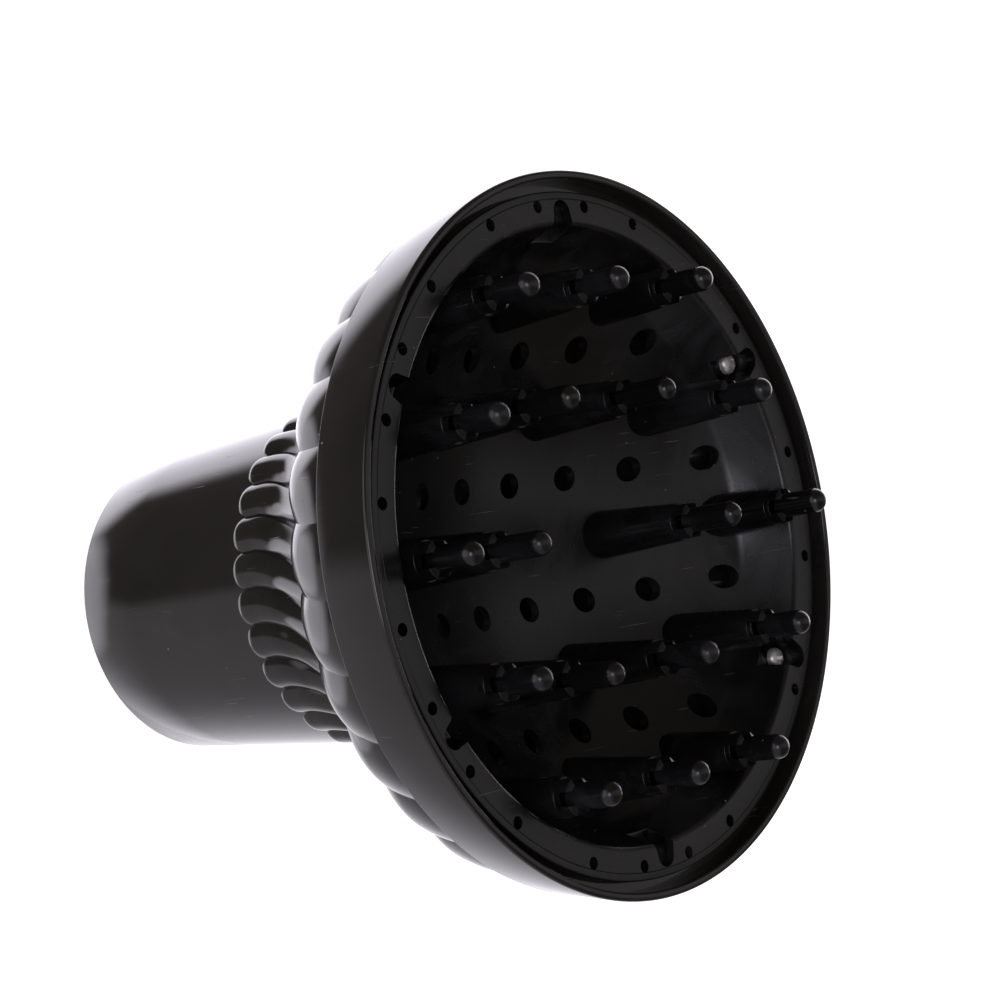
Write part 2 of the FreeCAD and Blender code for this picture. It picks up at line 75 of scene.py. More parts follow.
FLUTES = 30
FLUTE_START = 53.4
FLUTE_REAR_HEIGHT = 1.5
FLUTE_FRONT_HEIGHT = 1.3
FLUTE_PHASE = 5.2                                          # degrees, where the creases start
FLUTE_SWIRL = 28.4                                         # degrees, turn of a flute over its length
LEAN_START = 58.6
FULL_LEAN = 66.5
EASE_START = 86.0
FLARE_START = 66.0
BELL_CREST = (                                             # height, crest radius, slope in degrees
    (71.0, 40.6, 18.0), (79.0, 44.0, 28.0), (90.0, 53.9, 52.0), (100.0, 65.9, 45.5), (106.0, 70.15, 22.0),
)
BAND_SLOPE = 8.0                                           # degrees, slope of the crests at the band
BELL_FRONT_RADIUS = 72.6
COLLAR_RADIUS = 71.1

FLANGE_TOP = LIP - 2.3
FLANGE_RADIUS = 70.9
FLANGE_THICKNESS = 2.3
FLANGE_INNER = 64.0
FLANGE_ROUND = 1.5
SCORE_RADIUS = 69.3                                        # fine line round the flange
LEDGE_TOP = FLANGE_TOP - FLANGE_THICKNESS
DISH_DEPTH = 36.0
FLOOR_SPHERE = 90.0
FLOOR_CENTRE = LIP - DISH_DEPTH + FLOOR_SPHERE
FLOOR_EDGE = 60.0
FLOOR_THICKNESS = 2.0
VENT_RADIUS = 2.75
VENT_PITCH = 15.55
VENT_ROWS = ((0.5, 8), (1.5, 6))                           # row steps from the middle, vents in a row
RIM_VENT_RADIUS = 1.3
RIM_VENT_CIRCLE = 68.0
RIM_VENT_ANGLES = (6.4, 20.0, 40.0, 53.6)
SIDES = 6                                                  # the plate repeats six times round
SIDE_ANGLE = 60.0

FINGER_RINGS = (                                           # circle, first angle, tip over lip, pin length
    (57.5, 30.0, 11.5, 9.6),
    (50.5, 0.0, 11.5, 9.6),
    (32.0, 30.0, 6.8, 11.7),
)
PIN_RADIUS = 2.65
PIN_SEAT = 1.6
SHOULDER_RADIUS = 3.9
SHOULDER_SLOPE = 0.5
STEM_TAPER = 0.0586                                        # growth of the radius per unit of depth
BORE_RADIUS = 2.0
SLOT_WIDTH = 2.9
SLOT_HEIGHT = 3.2

SCREW_CIRCLE = 66.5
WELL_RADIUS = 2.6
WELL_MOUTH = 4.2                                           # half width where the well opens into the dish
WELL_MOUTH_LENGTH = 7.8
SCREW_SEAT = FLANGE_TOP - 6.6
BOSS_RADIUS = 3.4
BOSS_REACH = BOSS_RADIUS * 1.5                             # from a boss's middle to the end of its web
BOSS_END = SCREW_SEAT - 2.2
HEAD_RADIUS = 2.35
HEAD_HEIGHT = 1.8
SHANK_RADIUS = 1.45
SHANK_LENGTH = 9.0
THREAD_PITCH = 0.8
THREAD_DEPTH = 0.3
RECESS_DEPTH = 0.9
RECESS_TURN = 20.0

COLUMNS_PER_FLUTE = 16
FLUTE_END_ROWS = 30
BELL_ROWS = 110


# ---- mesh helpers ----

def mesh_object(name, points, faces, crease=35.0):
    """A mesh object from points in millimetres, shaded smooth up to a crease angle in degrees."""
    mesh = bpy.data.meshes.new(name)
    corners = [tuple(MM * float(value) for value in point) for point in points]
    mesh.from_pydata(corners, [], [tuple(map(int, face)) for face in faces])
    mesh.validate()
    mesh.shade_smooth()
    mesh.set_sharp_from_angle(angle=math.radians(crease))
    obj = bpy.data.objects.new(name, mesh)
    bpy.context.scene.collection.objects.link(obj)
    return obj


def merged(shells):
    """One pair of points and faces from several."""
    points = []
    faces = []
    for shell_points, shell_faces in shells:
        start = len(points)
        points.extend(shell_points)
        faces.extend(tuple(start + corner for corner in face) for face in shell_faces)
    return points, faces


def ring_grid(rings, closed=True):
    """Points, faces and point numbers of a skin through rings; closed joins the last ring to the first."""
    rings = np.asarray(rings, dtype=float)
    rows, columns = rings.shape[:2]
    index = np.arange(rows * columns).reshape(rows, columns)
    faces = []
    for row in range(rows if closed else rows - 1):
        low = index[row]
        high = index[(row + 1) % rows]
        for column in range(columns):
            side = (column + 1) % columns
            faces.append((low[column], low[side], high[side], high[column]))
    return rings.reshape(-1, 3), faces, index


def circle_points(radius, height, columns, x=0.0, y=0.0):
    """Points of a level circle."""
    angles = np.linspace(0.0, 2 * math.pi, columns, endpoint=False)
    along_x = x + radius * np.cos(angles)
    along_y = y + radius * np.sin(angles)
    return np.stack([along_x, along_y, np.full(columns, height)], axis=1)


def turned(outline, columns, x=0.0, y=0.0):
    """A closed shell turned about an upright line. The outline of (radius, height) points runs
    counter-clockwise, radius to the right and height up; one that starts at radius 0 ends there too."""
    poles = outline[0][0] == 0.0
    rows = outline[1:-1] if poles else outline
    rings = [circle_points(radius, height, columns, x, y) for radius, height in rows]
    points, faces, index = ring_grid(rings, closed=not poles)
    if poles:
        low = len(points)
        points = np.vstack([points, (x, y, outline[0][1]), (x, y, outline[-1][1])])
        for column in range(columns):
            side = (column + 1) % columns
            faces.append((low, index[0][side], index[0][column]))
            faces.append((index[-1][column], index[-1][side], low + 1))
    return points, faces


def prism(outline, low, high):
    """An upright prism over a counter-clockwise outline of (x, y) points."""
    rings = [[(x, y, z) for x, y in outline] for z in (low, high)]
    points, faces, index = ring_grid(rings, closed=False)
    return points, faces + [tuple(index[0][::-1]), tuple(index[1])]


def rod(radius, low, high, x, y, columns=32):
    """An upright round rod."""
    return prism([tuple(p[:2]) for p in circle_points(radius, low, columns, x, y)], low, high)


def rounded_outline(corners, steps=4):
    """An outline with each corner (radius, height, rounding) replaced by an arc."""
    outline = []
    count = len(corners)
    for k, (x, y, rounding) in enumerate(corners):
        here = Vector((x, y))
        if rounding == 0.0:
            outline.append((x, y))
            continue
        before = (Vector(corners[k - 1][:2]) - here).normalized()
        after = (Vector(corners[(k + 1) % count][:2]) - here).normalized()
        half = before.angle(after) / 2
        reach = rounding / math.tan(half)
        centre = here + (before + after).normalized() * rounding / math.sin(half)
        start = here + before * reach - centre
        finish = here + after * reach - centre
        sweep = start.angle_signed(finish)
        for step in range(steps + 1):
            arm = start.copy()
            arm.rotate(Matrix.Rotation(-sweep * step / steps, 2))
            outline.append(tuple(centre + arm))
    return outline


def carved(shell, tools):
    """A shell with closed tools cut out of it."""
    body = mesh_object("carved", *shell)
    tool = mesh_object("tools", *merged(tools))
    cutting = body.modifiers.new("cut", "BOOLEAN")
    cutting.operation = "DIFFERENCE"
    cutting.solver = "EXACT"
    cutting.object = tool
    made = body.evaluated_get(bpy.context.evaluated_depsgraph_get()).to_mesh()
    points = [tuple(vertex.co / MM) for vertex in made.vertices]
    faces = [tuple(face.vertices) for face in made.polygons]
    for used in (body, tool):
        mesh = used.data
        bpy.data.objects.remove(used)
        bpy.data.meshes.remove(mesh)
    return points, faces


def polar(radius, degrees):
    """The (x, y) point at a radius and an angle."""
    radians = math.radians(degrees)
    return radius * math.cos(radians), radius * math.sin(radians)


def turned_outline(outline, degrees, x=0.0, y=0.0):
    """An (x, y) outline turned about the origin and moved."""
    cosine, sine = polar(1.0, degrees)
    return [(x + px * cosine - py * sine, y + px * sine + py * cosine) for px, py in outline]


# ---- fluted bell ----

def barrel_radius(height):
    """Outer radius of the barrel, which widens towards the bell."""
    return BARREL_RADIUS + BARREL_FLARE * height


def crest_at(height):
    """Radius and slope angle of the flutes' crests at a height of the flare, on a smooth curve."""
    barrel_slope = math.degrees(math.atan(BARREL_FLARE))
    first = (FLARE_START, barrel_radius(FLARE_START) + FLUTE_REAR_HEIGHT, barrel_slope)
    points = [first, *BELL_CREST, (BAND_REAR, BELL_FRONT_RADIUS, BAND_SLOPE)]
    index = max(k for k in range(len(points) - 1) if points[k][0] <= height)
    (z0, r0, slope0), (z1, r1, slope1) = points[index:index + 2]
    start = math.tan(math.radians(slope0))
    finish = math.tan(math.radians(slope1))
    length = z1 - z0
    t = (height - z0) / length
    radius = r0 * (1 + 2 * t) * (1 - t) ** 2 + r1 * t * t * (3 - 2 * t)
    radius += length * (start * t * (1 - t) ** 2 - finish * t * t * (1 - t))
    slope = 6 * t * (1 - t) * (r1 - r0) / length + start * (1 - t) * (1 - 3 * t) + finish * t * (3 * t - 2)
    return radius, math.atan(slope)


def crest_line():
    """Rows along the flutes: height, crest radius, slope and flute height."""
    rows = []
    for step in range(1, FLUTE_END_ROWS + 1):
        height = FLUTE_START + (FLARE_START - FLUTE_START) * (step / FLUTE_END_ROWS) ** 1.5
        crest = barrel_radius(height) + FLUTE_REAR_HEIGHT
        rows.append((height, crest, math.atan(BARREL_FLARE), FLUTE_REAR_HEIGHT))
    for step in range(1, BELL_ROWS + 1):
        share = step / BELL_ROWS
        height = FLARE_START + (BAND_REAR - FLARE_START) * share
        radius, slope = crest_at(height)
        flute = FLUTE_REAR_HEIGHT + (FLUTE_FRONT_HEIGHT - FLUTE_REAR_HEIGHT) * share
        rows.append((height, radius, slope, flute))
    return rows


def flute_turn(rows):
    """Turn of the flutes at each row, in degrees: their lean grows up to the neck and eases to the band."""
    turns = [0.0]
    for (z0, r0, _, _), (z1, r1, _, _) in zip(rows, rows[1:]):
        growth = ((z0 + z1) / 2 - LEAN_START) / (FULL_LEAN - LEAN_START)
        ease = (BAND_REAR - (z0 + z1) / 2) / (BAND_REAR - EASE_START)
        lean = max(0.0, min(1.0, growth, ease))
        turns.append(turns[-1] + lean * math.hypot(z1 - z0, r1 - r0) / ((r0 + r1) / 2))
    return [FLUTE_PHASE + FLUTE_SWIRL * turn / turns[-1] for turn in turns]


def flute_bulge(share, flute, half_width):
    """Height of a flute's round back over its creases, at a share of its half width from the middle."""
    arc_radius = (half_width ** 2 + flute ** 2) / (2 * flute)
    return np.sqrt(arc_radius ** 2 - (np.minimum(share, 1.0) * half_width) ** 2) - (arc_radius - flute)


def bell_inside(rows):
    """Points (radius, height) of the bell's inner face, from the band back to the barrel."""
    inner = []
    for height, crest, slope, flute in rows[::-4]:
        inset = flute + WALL
        radius = crest - inset * math.cos(slope)
        if height > FLARE_START and radius < COLLAR_RADIUS - WALL:
            inner.append((radius, height + inset * math.sin(slope)))
    return inner


def bell_skin():
    """The shell's skin: barrel, fluted bell, front collar, inside and the sleeve's pocket."""
    step = 2 * math.pi / FLUTES
    phi = np.linspace(-math.pi / 2, math.pi / 2, COLUMNS_PER_FLUTE, endpoint=False)
    across = np.tile(np.sin(phi), FLUTES)                     # -1 and 1 at the creases, 0 at the crest
    angle = np.repeat(np.arange(FLUTES) + 0.5, COLUMNS_PER_FLUTE) * step + across * step / 2
    end_width = barrel_radius(FLUTE_START) * step / 2         # half width of a flute where it ends
    end_curve = end_width * (1.0 - np.sqrt(1.0 - across ** 2))

    def ring(radius, height, turn):
        theta = angle + math.radians(turn)
        level = height * np.ones_like(theta)
        return np.stack([radius * np.cos(theta), radius * np.sin(theta), level], axis=1)

    rings = []
    for share in (0.0, 0.3, 0.6, 0.85, 0.97, 1.0):            # barrel, up to the rounded ends of the flutes
        height = 0.4 + share * (FLUTE_START + end_curve - 0.4)
        rings.append(ring(barrel_radius(height), height, FLUTE_PHASE))
    rows = crest_line()
    turns = flute_turn([(FLUTE_START, rows[0][1], 0.0, 0.0)] + rows)[1:]
    settle = 2.4 * end_width                                   # length over which rows straighten out
    for (height, crest, slope, flute), turn in zip(rows, turns):
        ease = min(1.0, (height - FLUTE_START) / settle)
        ease = ease * ease * (3 - 2 * ease)
        z = height + end_curve * (1.0 - ease)
        inside = np.maximum(0.0, FLUTE_START + end_width - z) / end_width
        bulge = flute_bulge(np.hypot(across, inside ** 2), flute, crest * step / 2)
        drop = flute - np.maximum(bulge, 0.0)
        radius = crest + (z - height) * BARREL_FLARE - drop * math.cos(slope)
        rings.append(ring(radius, z + drop * math.sin(slope), turn))

    inner = bell_inside(rows)
    collar_top = LEDGE_TOP - LEDGE_THICKNESS
    low = FLARE_START - 4.0
    outline = [(COLLAR_RADIUS, BAND_REAR), (COLLAR_RADIUS, collar_top), (COLLAR_RADIUS - WALL, collar_top),
               (COLLAR_RADIUS - WALL, inner[0][1] + 0.5)]
    outline += inner
    outline += [(barrel_radius(low) - WALL, low), (barrel_radius(STOP_TOP) - WALL, STOP_TOP)]
    outline += [(STOP_RADIUS, STOP_TOP), (STOP_RADIUS, SLEEVE_TOP)]
    outline += [(SLEEVE_SEAT, SLEEVE_TOP), (SLEEVE_SEAT, 0.3), (SLEEVE_SEAT + 0.3, 0.0)]
    outline += [(BARREL_RADIUS - 0.4, 0.0), (BARREL_RADIUS - 0.12, 0.12)]
    for radius, height in outline:
        rings.append(ring(radius, height, turns[-1]))
    points, faces, _ = ring_grid(rings)
    return points, faces


def bell_bosses():
    """Posts for the screws inside the bell; their feet end within its wall."""
    inner = bell_inside(crest_line())
    radii = [radius for radius, _ in inner][::-1]
    heights = [height for _, height in inner][::-1]
    shells = []
    for k in range(SIDES):
        x, y = polar(SCREW_CIRCLE, SIDE_ANGLE * k)
        top = circle_points(BOSS_RADIUS - 0.3, BOSS_END, 32, x, y)
        edge = circle_points(BOSS_RADIUS, BOSS_END - 0.3, 32, x, y)
        foot = edge.copy()
        foot[:, 2] = np.interp(np.hypot(foot[:, 0], foot[:, 1]), radii, heights) - 0.9
        points, faces, index = ring_grid([foot, edge, top], closed=False)
        shells.append((points, faces + [tuple(index[0][::-1]), tuple(index[2])]))
    return shells


def rim_band():
    """The band with its lip and the ledge under the plate."""
    outline = rounded_outline([
        (BAND_REAR_RADIUS - BAND_THICKNESS, BAND_REAR, 0.0),
        (BAND_REAR_RADIUS, BAND_REAR, 0.25),
        (RIM_RADIUS, LIP, 0.7),
        (LIP_INNER, LIP, 0.5),
        (LIP_INNER, LEDGE_TOP, 0.0),
        (LEDGE_RADIUS, LEDGE_TOP, 0.2),
        (LEDGE_RADIUS, LEDGE_TOP - LEDGE_THICKNESS, 0.2),
        (BAND_REAR_RADIUS - BAND_THICKNESS, LEDGE_TOP - LEDGE_THICKNESS, 0.0),
    ], steps=5)
    return turned(outline, 360)


# ---- plate with its fingers ----

def sphere_height(sphere, radius):
    """Height of a sphere round the floor's centre, at a distance from the axis."""
    return FLOOR_CENTRE - math.sqrt(sphere ** 2 - radius ** 2)


def dish_outline():
    """Outline of the dish and its flange, from the underside's middle round to the floor's middle."""
    under = FLOOR_SPHERE + FLOOR_THICKNESS
    under_edge = FLOOR_EDGE + FLOOR_THICKNESS
    outline = [(r, sphere_height(under, r)) for r in np.linspace(0.0, under_edge, 24)]
    rim = rounded_outline([
        (FLANGE_INNER + FLOOR_THICKNESS, LEDGE_TOP, 0.4),
        (FLANGE_RADIUS, LEDGE_TOP, 0.2),
        (FLANGE_RADIUS, FLANGE_TOP, 0.35),
        (SCORE_RADIUS + 0.12, FLANGE_TOP, 0.0),
        (SCORE_RADIUS, FLANGE_TOP - 0.1, 0.0),
        (SCORE_RADIUS - 0.12, FLANGE_TOP, 0.0),
        (FLANGE_INNER, FLANGE_TOP, FLANGE_ROUND),
        (FLOOR_EDGE, sphere_height(FLOOR_SPHERE, FLOOR_EDGE), 0.0),
    ], steps=5)
    outline += rim[:-1]
    outline += [(r, sphere_height(FLOOR_SPHERE, r)) for r in np.linspace(FLOOR_EDGE, 0.0, 40)]
    return [(float(r), float(z)) for r, z in outline]


def finger_levels(circle, rise, pin_length):
    """Heights of a finger's tip, slope foot and slot foot, and of its stem's foot in the dish."""
    slope_foot = LIP + rise - pin_length - SHOULDER_SLOPE
    stem_foot = sphere_height(FLOOR_SPHERE, circle - SHOULDER_RADIUS * 1.5)
    return LIP + rise, slope_foot, slope_foot - SLOT_HEIGHT, stem_foot


def tooth(quadrant, slot_foot, slope_foot, x, y):
    """One of the four teeth between a stem's slots, with a sloping top."""
    edge = SLOT_WIDTH / 2
    rings = []
    for radius, height in ((SHOULDER_RADIUS + SLOT_HEIGHT * STEM_TAPER, slot_foot - 0.4),
                           (SHOULDER_RADIUS, slope_foot - 0.15),
                           (SHOULDER_RADIUS - 0.15, slope_foot + 0.03),
                           (PIN_RADIUS - 0.05, slope_foot + SHOULDER_SLOPE)):
        first = math.asin(edge / radius)
        arc = np.linspace(first, math.pi / 2 - first, 9)
        outline = [(edge, edge)] + [(radius * math.cos(a), radius * math.sin(a)) for a in arc]
        rings.append([(px, py, height) for px, py in turned_outline(outline, 90.0 * quadrant, x, y)])
    points, faces, index = ring_grid(rings, closed=False)
    return points, faces + [tuple(index[0][::-1]), tuple(index[-1])]


def finger(levels, x, y):
    """A hollow stem, its four teeth and the pin that stands on them."""
    tip, slope_foot, slot_foot, stem_foot = levels

    def outer(height):
        return SHOULDER_RADIUS + (slope_foot - height) * STEM_TAPER

    def bore(height):
        return BORE_RADIUS + (slope_foot - height) * STEM_TAPER

    stem = rounded_outline([
        (bore(stem_foot), stem_foot, 0.0),
        (outer(stem_foot), stem_foot, 0.2),
        (outer(slot_foot), slot_foot, 0.15),
        (bore(slot_foot), slot_foot, 0.1),
    ], steps=3)
    pin_foot = slope_foot - PIN_SEAT
    pin = [(0.0, pin_foot), (PIN_RADIUS - 0.2, pin_foot), (PIN_RADIUS, pin_foot + 0.2)]
    centre = tip - PIN_RADIUS
    pin.append((PIN_RADIUS, centre - 0.25))
    for angle in np.linspace(0.0, 90.0, 13)[:-1]:
        radius, above = polar(PIN_RADIUS, angle)
        pin.append((radius, centre + above))
    pin.append((0.0, tip))
    teeth = [tooth(quadrant, slot_foot, slope_foot, x, y) for quadrant in range(4)]
    return [turned(stem, 48, x, y), turned(pin, 40, x, y)] + teeth


def screw_well(k):
    """Cutting tool for a screw's well: round behind the screw and opening into the dish."""
    arc = [polar(WELL_RADIUS, angle) for angle in np.linspace(-90.0, 90.0, 17)]
    outline = [(-WELL_MOUTH_LENGTH, -WELL_MOUTH)] + arc + [(-WELL_MOUTH_LENGTH, WELL_MOUTH)]
    x, y = polar(SCREW_CIRCLE, SIDE_ANGLE * k)
    return prism(turned_outline(outline, SIDE_ANGLE * k, x, y), SCREW_SEAT, FLANGE_TOP + 2.0)


def plate_tools():
    """Cutting tools for the dish: vents, screw wells and the fingers' bores."""
    tools = []
    floor_low = LIP - DISH_DEPTH - FLOOR_THICKNESS * 2
    for steps, holes in VENT_ROWS:
        for side in (-1, 1):
            x = VENT_PITCH * math.sqrt(3.0) * steps * side
            for hole in range(holes):
                y = VENT_PITCH * (hole - (holes - 1) / 2)
                tools.append(rod(VENT_RADIUS, floor_low, FLANGE_TOP - 1.0, x, y))
    for k in range(SIDES):
        for angle in RIM_VENT_ANGLES:
            x, y = polar(RIM_VENT_CIRCLE, SIDE_ANGLE * k + angle)
            tools.append(rod(RIM_VENT_RADIUS, LEDGE_TOP - 1.0, FLANGE_TOP + 1.0, x, y, 24))
        tools.append(screw_well(k))
    for circle, first, rise, pin_length in FINGER_RINGS:
        _, slope_foot, _, stem_foot = finger_levels(circle, rise, pin_length)
        for k in range(SIDES):
            x, y = polar(circle, first + SIDE_ANGLE * k)
            radius = BORE_RADIUS + (slope_foot - stem_foot) * STEM_TAPER
            tools.append(rod(radius, stem_foot - 4.0, LIP - 8.0, x, y))
    return tools


def plate_bosses():
    """The plate's posts round the screws, with webs that end within the dish's wall."""
    wall_foot = sphere_height(FLOOR_SPHERE, FLOOR_EDGE)
    dish_space = [(0.0, wall_foot), (FLOOR_EDGE + 0.3, wall_foot)]
    dish_space += [(FLANGE_INNER + 0.3, FLANGE_TOP), (0.0, FLANGE_TOP)]
    shells = []
    for k in range(SIDES):
        arc = [polar(BOSS_RADIUS, angle) for angle in np.linspace(-90.0, 90.0, 17)]
        outline = [(-BOSS_REACH, -BOSS_RADIUS)] + arc + [(-BOSS_REACH, BOSS_RADIUS)]
        x, y = polar(SCREW_CIRCLE, SIDE_ANGLE * k)
        block = prism(turned_outline(outline, SIDE_ANGLE * k, x, y), BOSS_END, LEDGE_TOP + 0.5)
        shells.append(carved(carved(block, [screw_well(k)]), [turned(dish_space, 120)]))
    return shells


def plate_shells():
    """Every shell of the plate: the dish, its posts and the eighteen fingers."""
    dish = carved(turned(dish_outline(), 300), plate_tools())
    shells = [dish] + plate_bosses()
    for circle, first, rise, pin_length in FINGER_RINGS:
        levels = finger_levels(circle, rise, pin_length)
        for k in range(SIDES):
            shells += finger(levels, *polar(circle, first + SIDE_ANGLE * k))
    return shells


# ---- sleeve and screws ----

def sleeve_shell():
    """Rubber sleeve: a lead-in, then a bore with shallow grip grooves."""
    corners = [(SLEEVE_MOUTH, SLEEVE_FOOT, 0.3), (SLEEVE_SEAT, SLEEVE_FOOT, 0.3)]
    corners += [(SLEEVE_SEAT, SLEEVE_TOP, 0.2), (SLEEVE_BORE, SLEEVE_TOP, 0.3)]
    for groove in range(GRIP_GROOVES):
        height = SLEEVE_TOP - 3.0 - groove * GROOVE_PITCH
        corners.append((SLEEVE_BORE, height + 0.5, 0.15))
        corners.append((SLEEVE_BORE + GROOVE_DEPTH, height, 0.2))
        corners.append((SLEEVE_BORE, height - 0.5, 0.15))
    corners.append((SLEEVE_BORE, SLEEVE_FOOT + LEAD_IN, 0.5))
    return turned(rounded_outline(corners, steps=3), 180)


def screw_shell(angle):
    """A pan-head screw with a cross recess and a ridged thread."""
    foot = SCREW_SEAT - SHANK_LENGTH
    outline = [(0.0, foot), (SHANK_RADIUS * 0.55, foot + 0.8)]
    height = foot + 1.2
    root = SHANK_RADIUS - THREAD_DEPTH
    while height < SCREW_SEAT - 0.6:
        outline += [(root, height), (SHANK_RADIUS, height + 0.35), (root, height + 0.7)]
        height += THREAD_PITCH
    head_top = SCREW_SEAT + HEAD_HEIGHT
    outline += [(root, SCREW_SEAT), (HEAD_RADIUS - 0.15, SCREW_SEAT), (HEAD_RADIUS, SCREW_SEAT + 0.15)]
    for angle_up in np.linspace(0.0, 90.0, 10)[:-1]:
        across, above = polar(1.0, angle_up)
        outline.append((HEAD_RADIUS * (0.55 + 0.45 * across), SCREW_SEAT + 0.75 + above))
    outline += [(HEAD_RADIUS * 0.5, head_top - 0.01), (0.0, head_top)]
    arm, span = 0.375, 1.35
    cross = [(arm, arm), (arm, span), (-arm, span), (-arm, arm), (-span, arm), (-span, -arm),
             (-arm, -arm), (-arm, -span), (arm, -span), (arm, -arm), (span, -arm), (span, arm)]
    x, y = polar(SCREW_CIRCLE, angle)
    tool = prism(turned_outline(cross, angle + RECESS_TURN, x, y), head_top - RECESS_DEPTH, head_top + 1.0)
    return carved(turned(outline, 48, x, y), [tool])


# ---- materials ----

class Graph:
    """Builds a material's node tree; the methods that make a pattern return its socket."""

    def __init__(self, name):
        self.material = bpy.data.materials.new(name)
        self.material.use_nodes = True
        self.tree = self.material.node_tree
        self.shader = self.tree.nodes["Principled BSDF"]
        self.place = self.add("ShaderNodeTexCoord", out="Object")

    def add(self, kind, inputs=None, out=0, **settings):
        """A node with some of its inputs fed."""
        node = self.tree.nodes.new(kind)
        for key, value in settings.items():
            setattr(node, key, value)
        for socket, value in (inputs or {}).items():
            self.feed(node.inputs[socket], value)
        return node.outputs[out]

    def feed(self, socket, value):
        """Links an input to a socket, or gives it a value."""
        if isinstance(value, bpy.types.NodeSocket):
            self.tree.links.new(value, socket)
        else:
            socket.default_value = value

    def set(self, **values):
        """Sets the shader's inputs; an underscore stands for a space."""
        for key, value in values.items():
            self.feed(self.shader.inputs[key.replace("_", " ")], value)

    def maths(self, operation, first, second):
        return self.add("ShaderNodeMath", {0: first, 1: second}, operation=operation)

    def total(self, base, *terms):
        """base plus each (socket, weight)."""
        for socket, weight in terms:
            base = self.add("ShaderNodeMath", {0: socket, 1: weight, 2: base}, operation="MULTIPLY_ADD")
        return base

    def window(self, value, low, high):
        """Smooth step from 0 at low to 1 at high."""
        inputs = {"Value": value, "From Min": low, "From Max": high}
        return self.add("ShaderNodeMapRange", inputs, out="Result", interpolation_type="SMOOTHSTEP")

    def noise(self, scale, detail=3.0, rough=0.55, distortion=0.0, place=None):
        """A cloudy pattern, in the object's own space unless another place is given."""
        inputs = {"Vector": place or self.place, "Scale": scale, "Detail": detail, "Roughness": rough,
                  "Distortion": distortion}
        return self.add("ShaderNodeTexNoise", inputs)

    def blend(self, factor, first, second):
        """The first colour where the factor is 0, the second where it is 1."""
        node = self.tree.nodes.new("ShaderNodeMix")
        node.data_type = "RGBA"
        for slot, value in ((0, factor), (6, first), (7, second)):
            self.feed(node.inputs[slot], value)
        return node.outputs[2]

    def specks(self, scale, size, share):
        """Small round grains: a share of the cells of a point pattern."""
        cells = self.tree.nodes.new("ShaderNodeTexVoronoi")
        self.feed(cells.inputs["Vector"], self.place)
        cells.inputs["Scale"].default_value = scale
        near = self.window(cells.outputs["Distance"], size, size * 0.4)
        red = self.add("ShaderNodeSeparateColor", {0: cells.outputs["Color"]})
        chosen = self.maths("GREATER_THAN", red, 1.0 - share)
        return self.maths("MULTIPLY", near, chosen)

    def hairlines(self, turn, limit, length=70.0):
        """Thin scratches along one direction."""
        inputs = {"Vector": self.place, "Rotation": turn, "Scale": (2400.0, length, length)}
        streaks = self.noise(1.0, 1.0, 0.5, 0.6, self.add("ShaderNodeMapping", inputs))
        return self.window(streaks, limit, limit + 0.03)

    def bump(self, height, strength, distance):
        """Fine relief on the surface."""
        inputs = {"Height": height, "Strength": strength, "Distance": distance}
        self.set(Normal=self.add("ShaderNodeBump", inputs))


def plastic(name, colour, dust, rough, cloud_rough, grain, grain_size, dust_share, smear, scratch):
    """Moulded black plastic with a film of dust, specks, hairline scratches, smudges and a fine grain."""
    graph = Graph(name)
    cloud = graph.noise(38.0, 5.0, 0.6, 0.6)
    smudge = graph.window(graph.noise(24.0, 7.0, 0.66, 1.8), 0.47, 0.68)
    fine = graph.noise(grain_size, 3.0, 0.6)
    small = graph.specks(520.0, 0.14, dust_share)
    large = graph.specks(190.0, 0.06, dust_share)
    specks = graph.maths("MAXIMUM", small, large)
    one_way = graph.hairlines((0.3, 0.5, 0.4), 0.755)
    other_way = graph.hairlines((1.1, 0.2, 1.9), 0.755)
    scratches = graph.maths("MAXIMUM", one_way, other_way)
    scratches = graph.maths("MULTIPLY", scratches, graph.window(graph.noise(60.0, 2.0), 0.5, 0.62))
    film = graph.total(-0.018, (cloud, 0.05), (smudge, smear), (scratches, scratch), (specks, 0.5))
    graph.set(Base_Color=graph.blend(film, colour, dust))
    graph.set(Roughness=graph.total(rough - cloud_rough / 2, (cloud, cloud_rough), (smudge, smear * 3.0),
                                    (scratches, 0.2), (specks, 0.45)))
    graph.set(IOR=1.5)
    height = graph.total(0.0, (fine, grain), (scratches, -0.6), (specks, 0.8))
    graph.bump(height, 0.6, 0.00004)
    return graph.material


def gloss_black():
    """The bell's and the band's polished plastic."""
    return plastic("gloss_black", colour=(0.015, 0.014, 0.0125, 1), dust=(0.42, 0.4, 0.38, 1),
                   rough=0.085, cloud_rough=0.06, grain=0.05, grain_size=160.0,
                   dust_share=0.012, smear=0.012, scratch=0.1)


def satin_black():
    """The plate's duller plastic, handled more."""
    return plastic("satin_black", colour=(0.004, 0.0038, 0.004, 1), dust=(0.4, 0.38, 0.42, 1),
                   rough=0.25, cloud_rough=0.2, grain=0.5, grain_size=1300.0,
                   dust_share=0.03, smear=0.028, scratch=0.3)


def rubber():
    """Matt black rubber with a pale bloom."""
    graph = Graph("rubber")
    bloom = graph.noise(60.0, 5.0, 0.6)
    grain = graph.noise(2200.0, 2.0)
    specks = graph.specks(420.0, 0.14, 0.04)
    film = graph.total(0.0, (bloom, 0.14), (specks, 0.5))
    graph.set(Base_Color=graph.blend(film, (0.012, 0.012, 0.012, 1), (0.28, 0.27, 0.26, 1)))
    graph.set(Roughness=graph.total(0.5, (bloom, 0.25)))
    graph.bump(graph.total(0.0, (grain, 1.0), (bloom, 0.4)), 0.5, 0.00006)
    return graph.material


